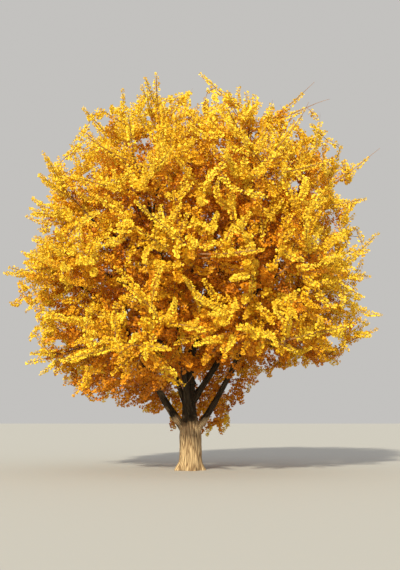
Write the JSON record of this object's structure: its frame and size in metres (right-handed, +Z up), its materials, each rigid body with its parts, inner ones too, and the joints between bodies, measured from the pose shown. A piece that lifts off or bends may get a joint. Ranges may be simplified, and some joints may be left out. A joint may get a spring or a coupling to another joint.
{
  "type": "ginkgo tree",
  "caption": "Full-grown ginkgo tree in yellow autumn leaf: short furrowed trunk with a root flare, low fork, ascending limbs and a broad round-shouldered crown.",
  "frame": {"origin": "where the trunk's axis meets the ground, in the flat cut under the trunk", "axes": "+Z up, +X towards the picture's right, -Y towards the viewer of the picture"},
  "size_m": [11.289, 11.3389, 12.104],
  "materials": {
    "bark": "rough furrowed bark",
    "autumn_leaf": "matt golden yellow leaf"
  },
  "bodies": {
    "root": {"back_limb": "bark", "front_limb": "bark", "heart_1_bough": "bark", "heart_1_foliage": "autumn_leaf", "heart_2_bough": "bark", "heart_2_foliage": "autumn_leaf", "leader": "bark", "left_leader": "bark", "left_limb": "bark", "low_1_bough": "bark", "low_1_foliage": "autumn_leaf", "low_2_bough": "bark", "low_2_foliage": "autumn_leaf", "low_3_bough": "bark", "low_3_foliage": "autumn_leaf", "low_4_bough": "bark", "low_4_foliage": "autumn_leaf", "low_5_bough": "bark", "low_5_foliage": "autumn_leaf", "low_6_bough": "bark", "low_6_foliage": "autumn_leaf", "middle_1_foliage": "autumn_leaf", "middle_2_bough": "bark", "middle_2_foliage": "autumn_leaf", "middle_3_bough": "bark", "middle_3_foliage": "autumn_leaf", "middle_4_bough": "bark", "middle_4_foliage": "autumn_leaf", "middle_5_foliage": "autumn_leaf", "middle_6_bough": "bark", "middle_6_foliage": "autumn_leaf", "middle_7_bough": "bark", "middle_7_foliage": "autumn_leaf", "middle_8_bough": "bark", "middle_8_foliage": "autumn_leaf", "right_leader": "bark", "right_limb": "bark", "shoulder_1_foliage": "autumn_leaf", "shoulder_2_bough": "bark", "shoulder_2_foliage": "autumn_leaf", "shoulder_3_foliage": "autumn_leaf", "shoulder_4_bough": "bark", "shoulder_4_foliage": "autumn_leaf", "shoulder_5_bough": "bark", "shoulder_5_foliage": "autumn_leaf", "shoulder_6_foliage": "autumn_leaf", "shoulder_7_bough": "bark", "shoulder_7_foliage": "autumn_leaf", "top_1_foliage": "autumn_leaf", "top_2_bough": "bark", "top_2_foliage": "autumn_leaf", "top_3_foliage": "autumn_leaf", "top_4_bough": "bark", "top_4_foliage": "autumn_leaf", "top_5_bough": "bark", "top_5_foliage": "autumn_leaf", "trunk": "bark"}
  },
  "joints": []
}
